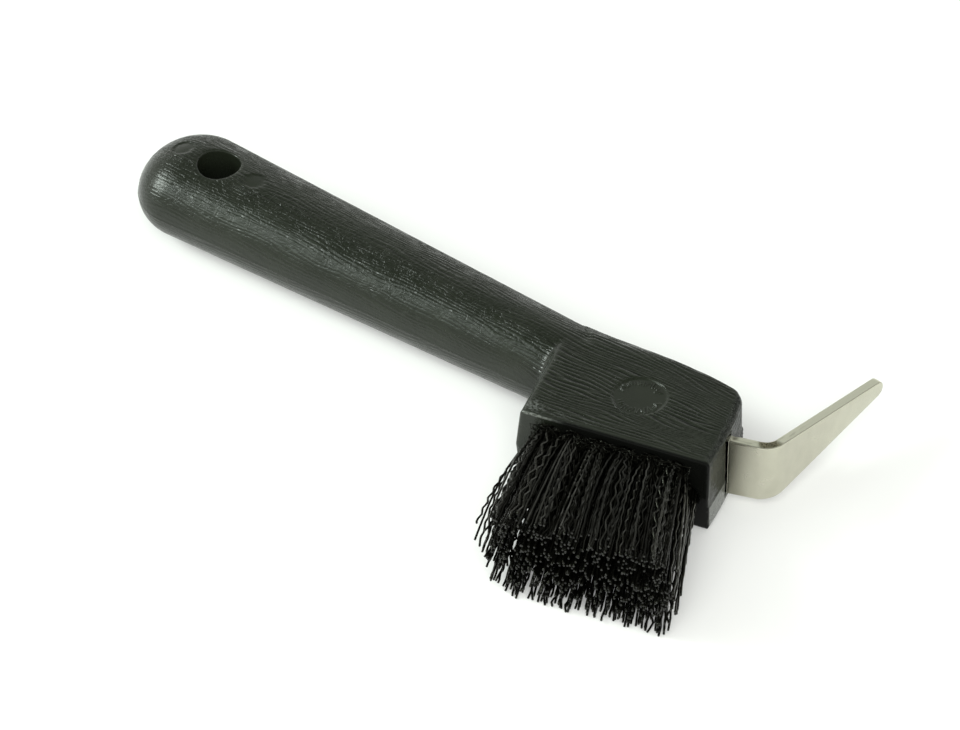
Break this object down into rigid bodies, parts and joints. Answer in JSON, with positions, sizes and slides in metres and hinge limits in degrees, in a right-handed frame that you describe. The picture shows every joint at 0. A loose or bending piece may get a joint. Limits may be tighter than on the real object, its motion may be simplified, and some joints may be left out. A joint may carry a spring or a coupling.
{
  "type": "hoof pick",
  "caption": "Hoof pick with a bent steel pick, a stiff crimped brush on an angled head, and a tapered oval grip with a hanging hole.",
  "frame": {"origin": "centre of the hanging hole, at mid thickness of the grip", "axes": "+X along the grip towards the head, +Z along the hanging hole, bristles towards -Y, pick hooked over towards +Y"},
  "size_m": [0.1932, 0.1024, 0.0235],
  "materials": {
    "moulded_plastic": "semi-gloss black-green moulding with a fine embossed wood-grain texture on the grip and the broad faces",
    "plated_steel": "satin nickel plate with faint rolling lines and rougher sheared edges",
    "bristle": "black crimped synthetic filament with a soft sheen and paler cut ends",
    "anchor_wire": "plain bright wire"
  },
  "bodies": {
    "root": {"handle": "moulded_plastic", "pick_blade": "plated_steel", "tuft_anchors": "anchor_wire", "tuft_top_1": "bristle", "tuft_top_2": "bristle", "tuft_top_3": "bristle", "tuft_top_4": "bristle", "tuft_top_5": "bristle", "tuft_top_6": "bristle", "tuft_mid_1": "bristle", "tuft_mid_2": "bristle", "tuft_mid_3": "bristle", "tuft_mid_4": "bristle", "tuft_mid_5": "bristle", "tuft_mid_6": "bristle", "tuft_mid_7": "bristle", "tuft_low_1": "bristle", "tuft_low_2": "bristle", "tuft_low_3": "bristle", "tuft_low_4": "bristle", "tuft_low_5": "bristle", "tuft_low_6": "bristle"}
  },
  "joints": []
}
